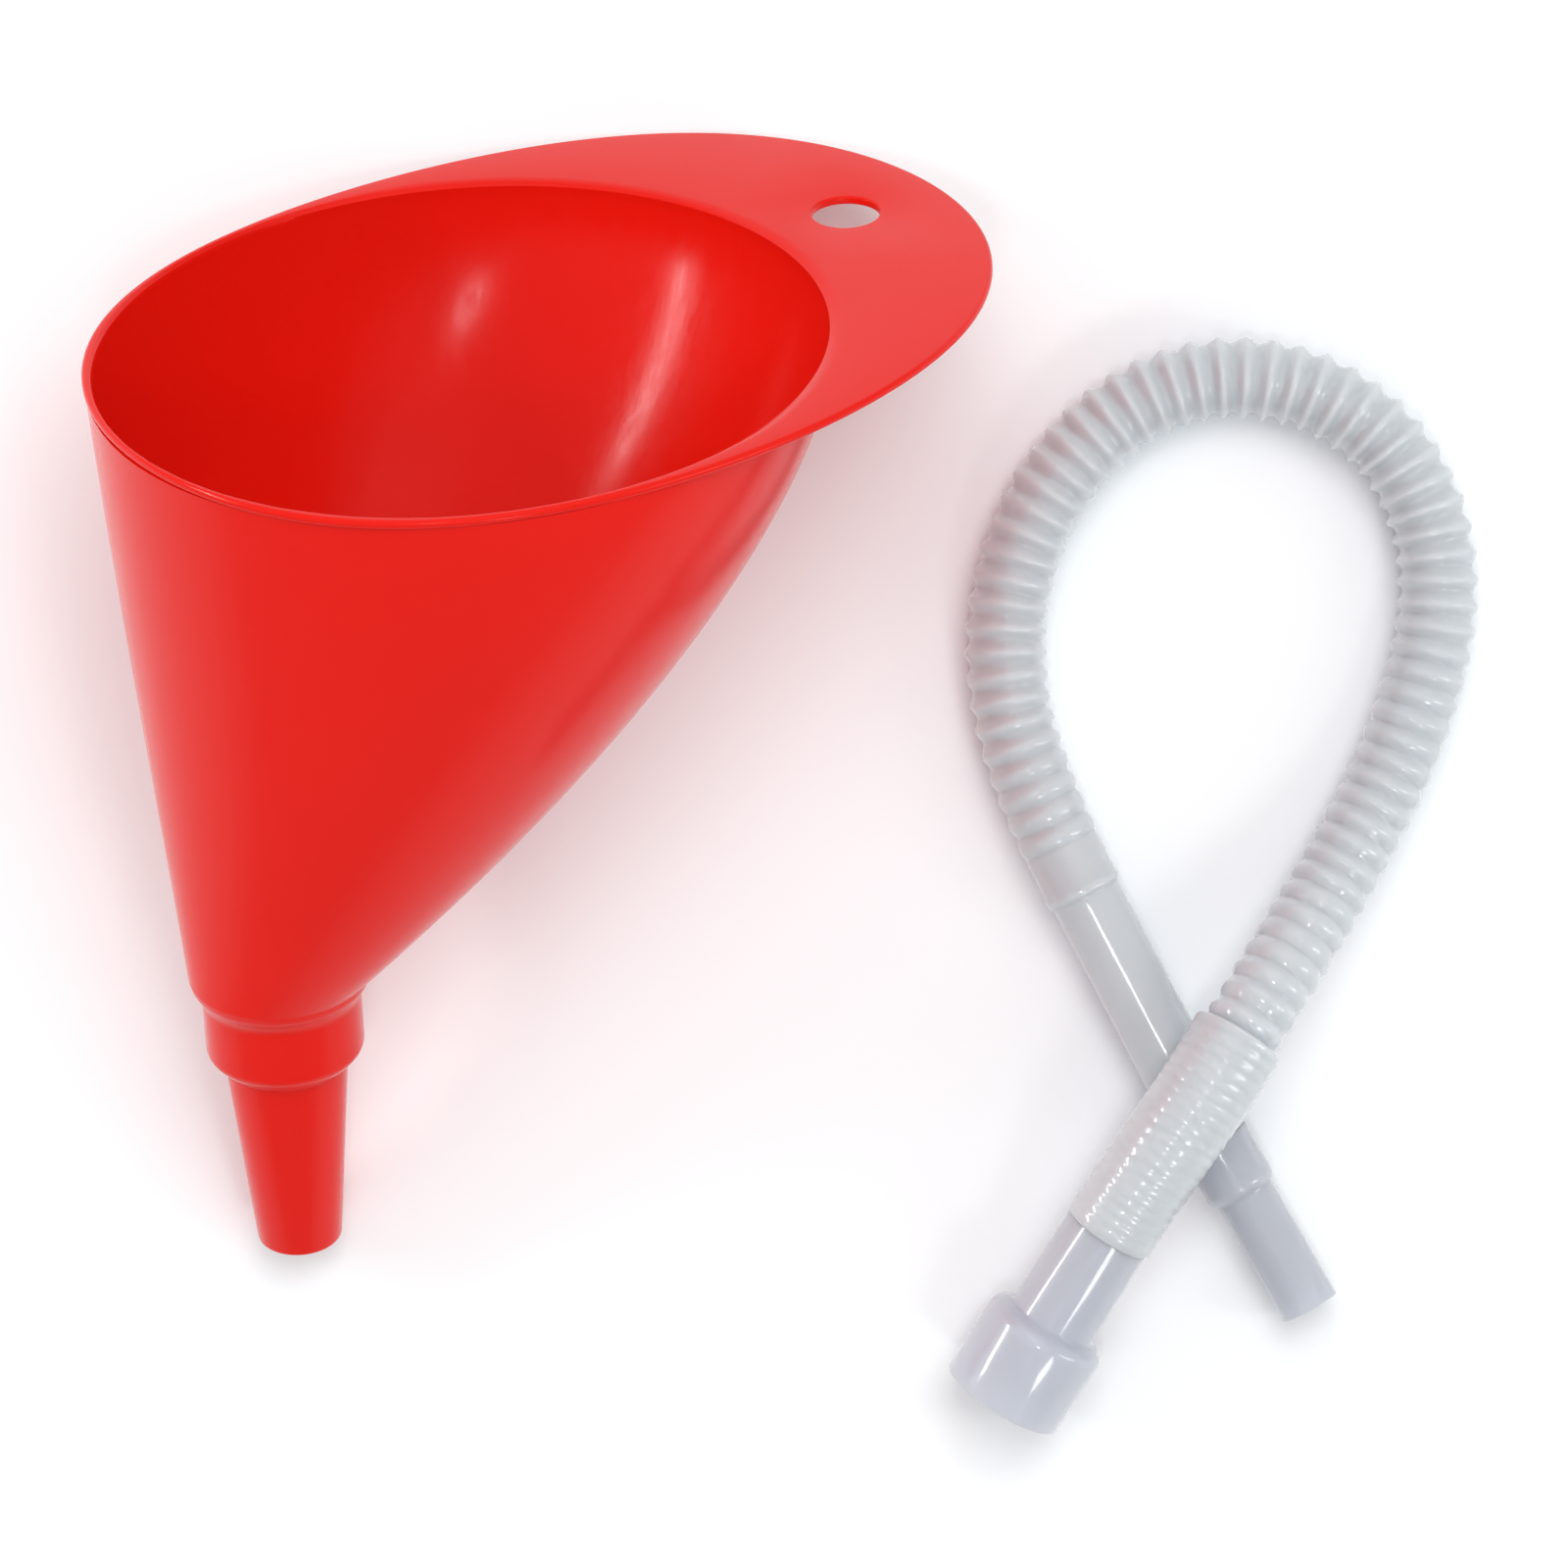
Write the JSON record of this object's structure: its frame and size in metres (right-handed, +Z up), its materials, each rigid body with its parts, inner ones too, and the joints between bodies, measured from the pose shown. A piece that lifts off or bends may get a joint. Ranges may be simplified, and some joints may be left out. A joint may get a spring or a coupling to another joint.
{
  "type": "filling funnel",
  "caption": "Off-centre filling funnel with an egg-shaped hanging rim, stepped neck and tapered spout, lying beside its push-on bellows hose with a stepped nozzle.",
  "frame": {"origin": "on the surface it lies on, under the centre of the funnel's box (the hose left out)", "axes": "+Z up from the surface; +Y from the spout's tip towards the raised mouth; +X from the short side towards the handle and the hose"},
  "size_m": [0.337, 0.3225, 0.1713],
  "materials": {
    "red_polypropylene": "moulded polypropylene, soft gloss",
    "gauze_wire": "fine woven wire",
    "milky_pvc": "milky translucent flexible plastic, glossy"
  },
  "bodies": {
    "funnel": {"funnel_bell": "red_polypropylene", "rim_flange": "red_polypropylene", "hang_tab": "red_polypropylene", "neck_collar": "red_polypropylene", "spout": "red_polypropylene"},
    "strainer": {"strainer_ring": "red_polypropylene", "strainer_gauze": "gauze_wire"},
    "hose": {"hose_socket": "milky_pvc", "hose_close_bellows": "milky_pvc", "hose_open_bellows": "milky_pvc", "hose_plain_tube": "milky_pvc", "hose_nozzle": "milky_pvc"}
  },
  "joints": [
    {"name": "strainer_lift", "type": "slide", "parent": "funnel", "child": "strainer", "axis": [-0.03, 0.8584, 0.5122], "range_m": [0, 0.18]},
    {"name": "hose_lift", "type": "slide", "parent": "funnel", "child": "hose", "axis": [0, 0, 1], "range_m": [0, 0.19]}
  ]
}
